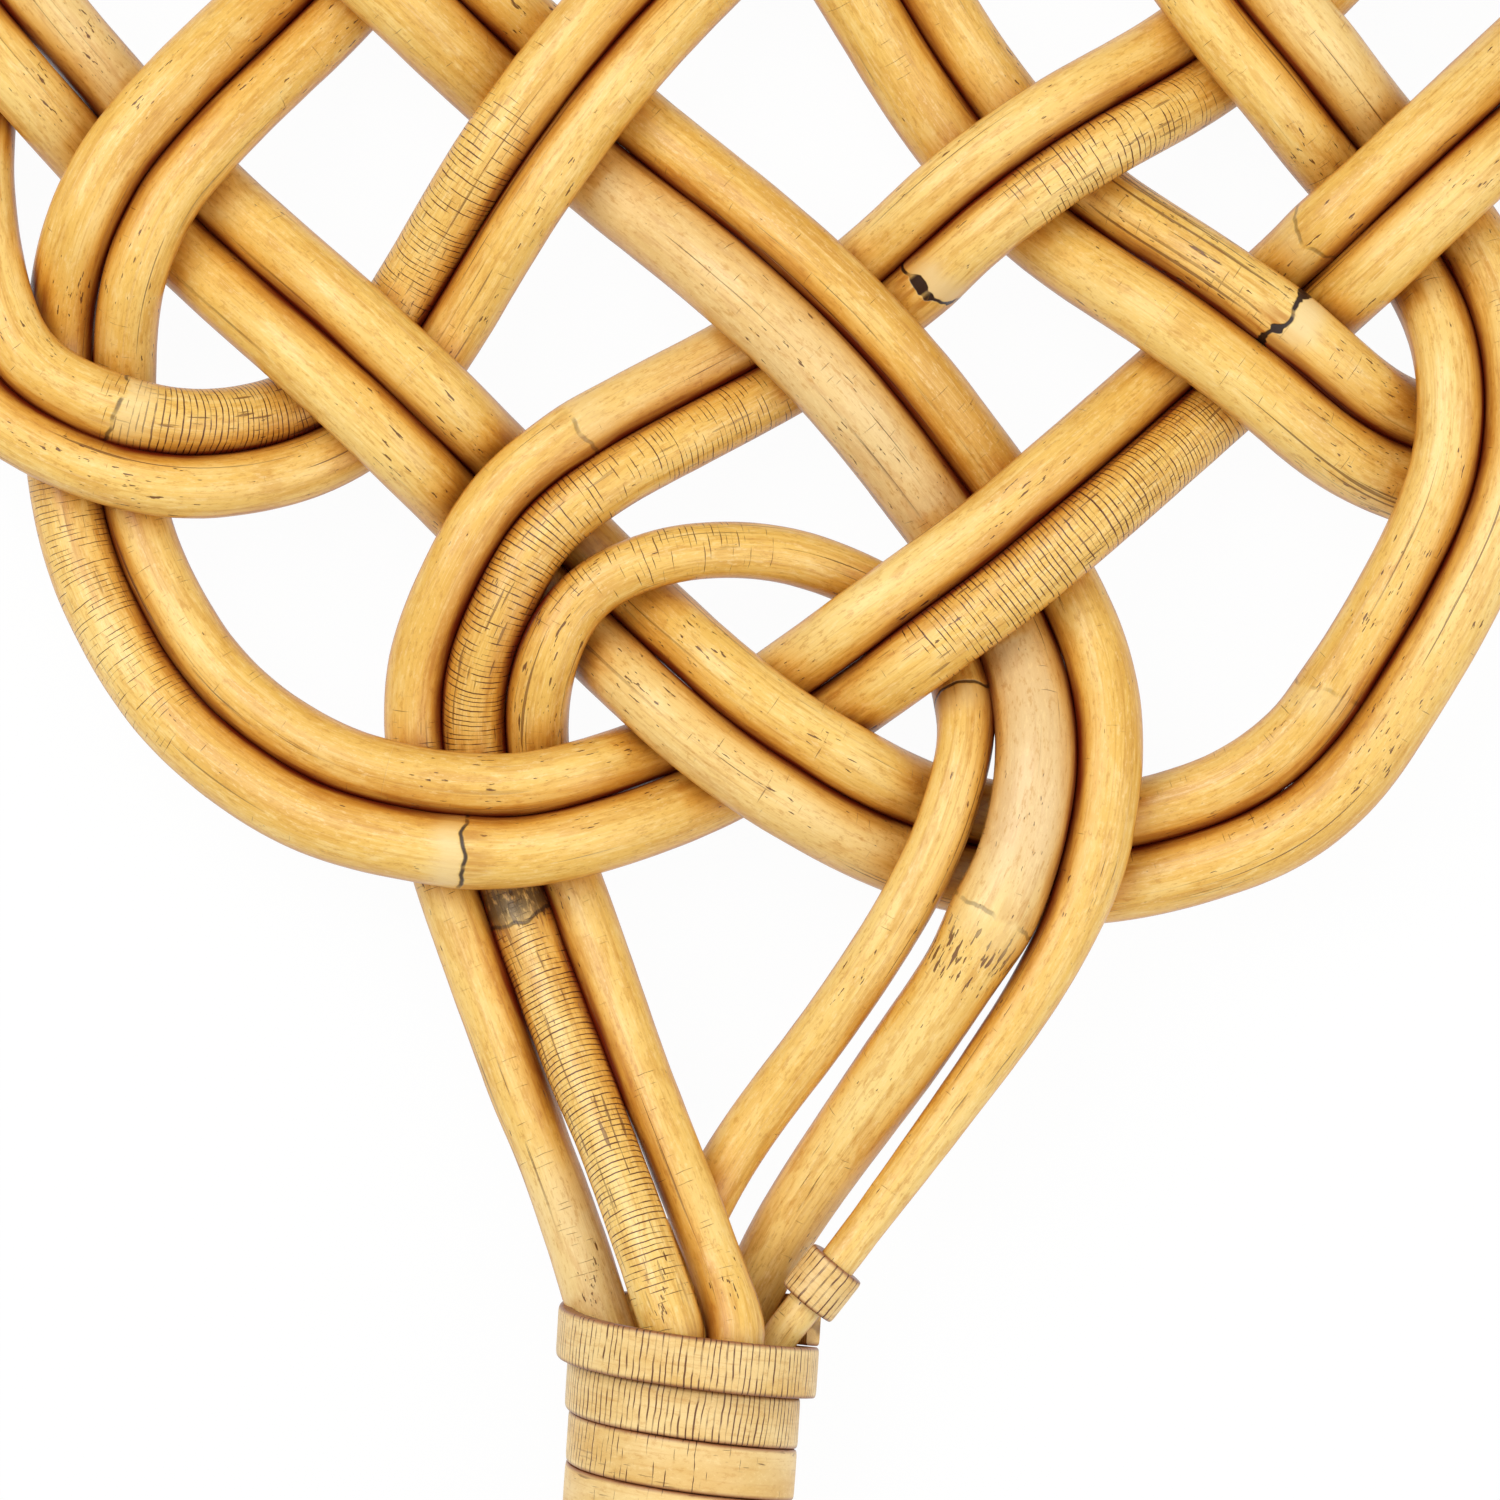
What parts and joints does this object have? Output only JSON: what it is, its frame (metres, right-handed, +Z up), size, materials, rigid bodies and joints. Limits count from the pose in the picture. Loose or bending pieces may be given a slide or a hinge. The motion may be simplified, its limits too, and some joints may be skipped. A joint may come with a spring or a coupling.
{
  "type": "carpet beater",
  "caption": "Woven rattan carpet beater: paired canes knotted into an open heart-shaped head, a cane-bound handle and a hanging eye.",
  "frame": {"origin": "on the surface that the beater lies on, below the middle of its length and width", "axes": "+Y from the handle to the head's crown, +X to the right of the seen face, +Z up from the surface, out of the seen face"},
  "size_m": [0.241, 0.5614, 0.0339],
  "materials": {
    "cane": "lacquered satin",
    "pale_cane": "lacquered satin",
    "core_stick": "raw",
    "split_cane": "glossy"
  },
  "bodies": {
    "root": {"outer_cane": "cane", "inner_cane": "pale_cane", "arch_cane": "cane", "handle_core": "core_stick", "handle_bindings": "split_cane", "leg_cuff": "split_cane", "hanging_loop": "cane"}
  },
  "joints": []
}
